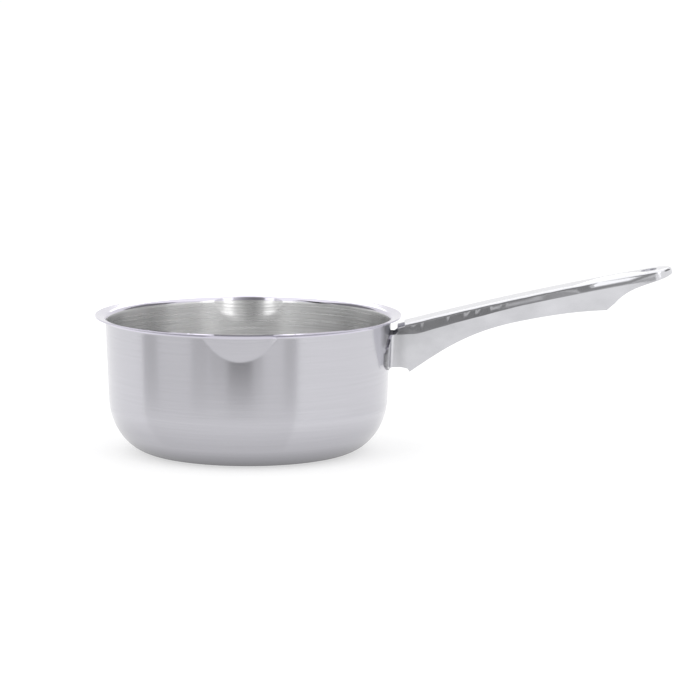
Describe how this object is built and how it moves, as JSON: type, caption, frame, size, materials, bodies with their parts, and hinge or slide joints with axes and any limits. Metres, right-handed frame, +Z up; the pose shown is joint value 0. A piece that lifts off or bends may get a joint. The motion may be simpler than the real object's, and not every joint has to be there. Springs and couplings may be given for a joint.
{
  "type": "milk pan",
  "caption": "Round stainless steel milk pan with a flared rim, a pouring lip on each side and a long channel handle with a hanging hole.",
  "frame": {"origin": "middle of the base, on the surface that the pan stands on", "axes": "+Z up through the middle of the pan, +X towards the handle's tip, pouring lips at +Y and -Y"},
  "size_m": [0.3262, 0.17, 0.1057],
  "materials": {
    "pan_steel": "satin, brushed around, with a polished rim",
    "handle_steel": "polished",
    "weld_steel": "as welded"
  },
  "bodies": {
    "root": {"pan_body": "pan_steel", "handle": "handle_steel", "spot_welds": "weld_steel"}
  },
  "joints": []
}
